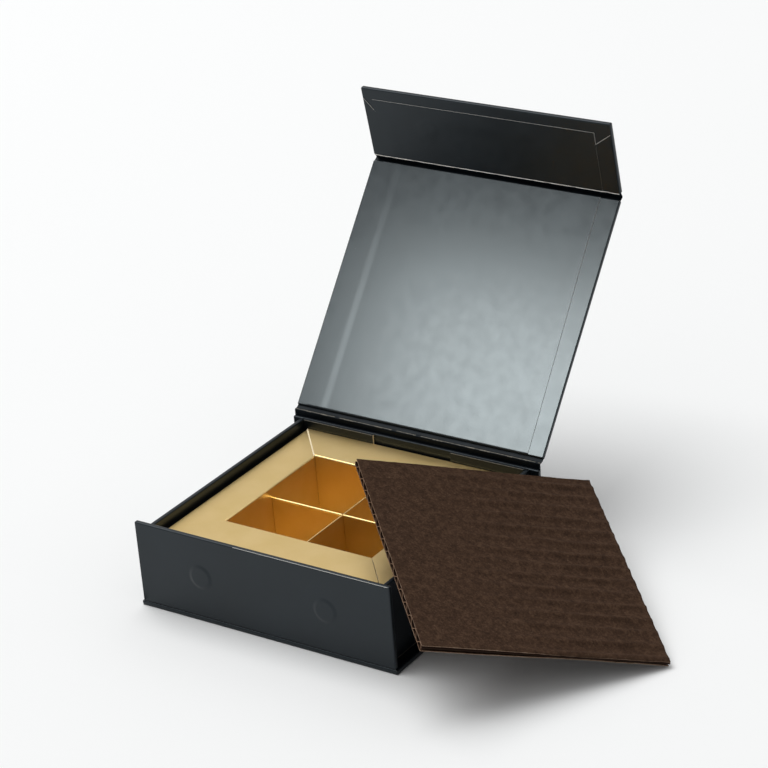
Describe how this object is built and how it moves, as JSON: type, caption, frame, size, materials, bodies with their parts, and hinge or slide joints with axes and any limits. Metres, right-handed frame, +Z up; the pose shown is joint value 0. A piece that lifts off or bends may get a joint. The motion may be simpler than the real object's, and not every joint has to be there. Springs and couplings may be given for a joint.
{
  "type": "chocolate box",
  "caption": "Black fold-up gift box standing open, with hinged lid, magnetic flap, gold card tray with slotted dividers and a loose corrugated cover pad.",
  "frame": {"origin": "under the middle of the base, on the table", "axes": "+Z up, +Y from the front wall to the back wall and its lid hinge, +X to the right"},
  "size_m": [0.2106, 0.2086, 0.1588],
  "materials": {
    "black_paper": "satin film",
    "black_lining": "satin film",
    "greyboard": "raw",
    "gold_card": "metallic gold",
    "brown_corrugated": "dark brown",
    "magnet": "plated",
    "tape": "cream tissue"
  },
  "bodies": {
    "case": {"base_board": "greyboard", "front_board": "greyboard", "back_board": "greyboard", "left_board": "greyboard", "right_board": "greyboard", "front_left_ear": "greyboard", "back_left_ear": "greyboard", "front_right_ear": "greyboard", "back_right_ear": "greyboard", "case_wrap": "black_paper", "left_wall_wrap": "black_paper", "right_wall_wrap": "black_paper", "base_liner": "black_lining", "front_liner": "black_lining", "back_liner": "black_lining", "front_magnets": "magnet", "ear_tapes": "tape", "lid_hinge_paper": "black_paper", "tray": "gold_card", "divider_long": "gold_card", "divider_cross": "gold_card"},
    "lid": {"lid_board": "greyboard", "lid_wrap": "black_paper", "lid_liner": "black_lining", "flap_hinge_paper": "black_paper"},
    "flap": {"flap_board": "greyboard", "flap_wrap": "black_paper", "flap_liner": "black_lining", "flap_magnets": "magnet"},
    "pad": {"pad_face": "brown_corrugated", "pad_fluting": "brown_corrugated", "pad_back": "brown_corrugated"}
  },
  "joints": [
    {"name": "lid_hinge", "type": "hinge", "parent": "case", "child": "lid", "pos_m": [0, 0.0552, 0.0377], "axis": [1, 0, 0], "range_deg": [0, 129.5], "deforming": ["lid_hinge_paper"]},
    {"name": "flap_hinge", "type": "hinge", "parent": "lid", "child": "flap", "pos_m": [0, 0.12967, 0.12457], "axis": [1, 0, 0], "range_deg": [-50, 40], "deforming": ["flap_hinge_paper"]},
    {"name": "pad_tip", "type": "hinge", "parent": "case", "child": "pad", "pos_m": [0.14932, -0.00522, 0.00159], "axis": [-0.165, 0.9863, 0], "range_deg": [0, 157.15]}
  ],
  "couplings": [
    {"joint": "pad_tip", "follows": "lid_hinge", "ratio": 1.2131}
  ]
}
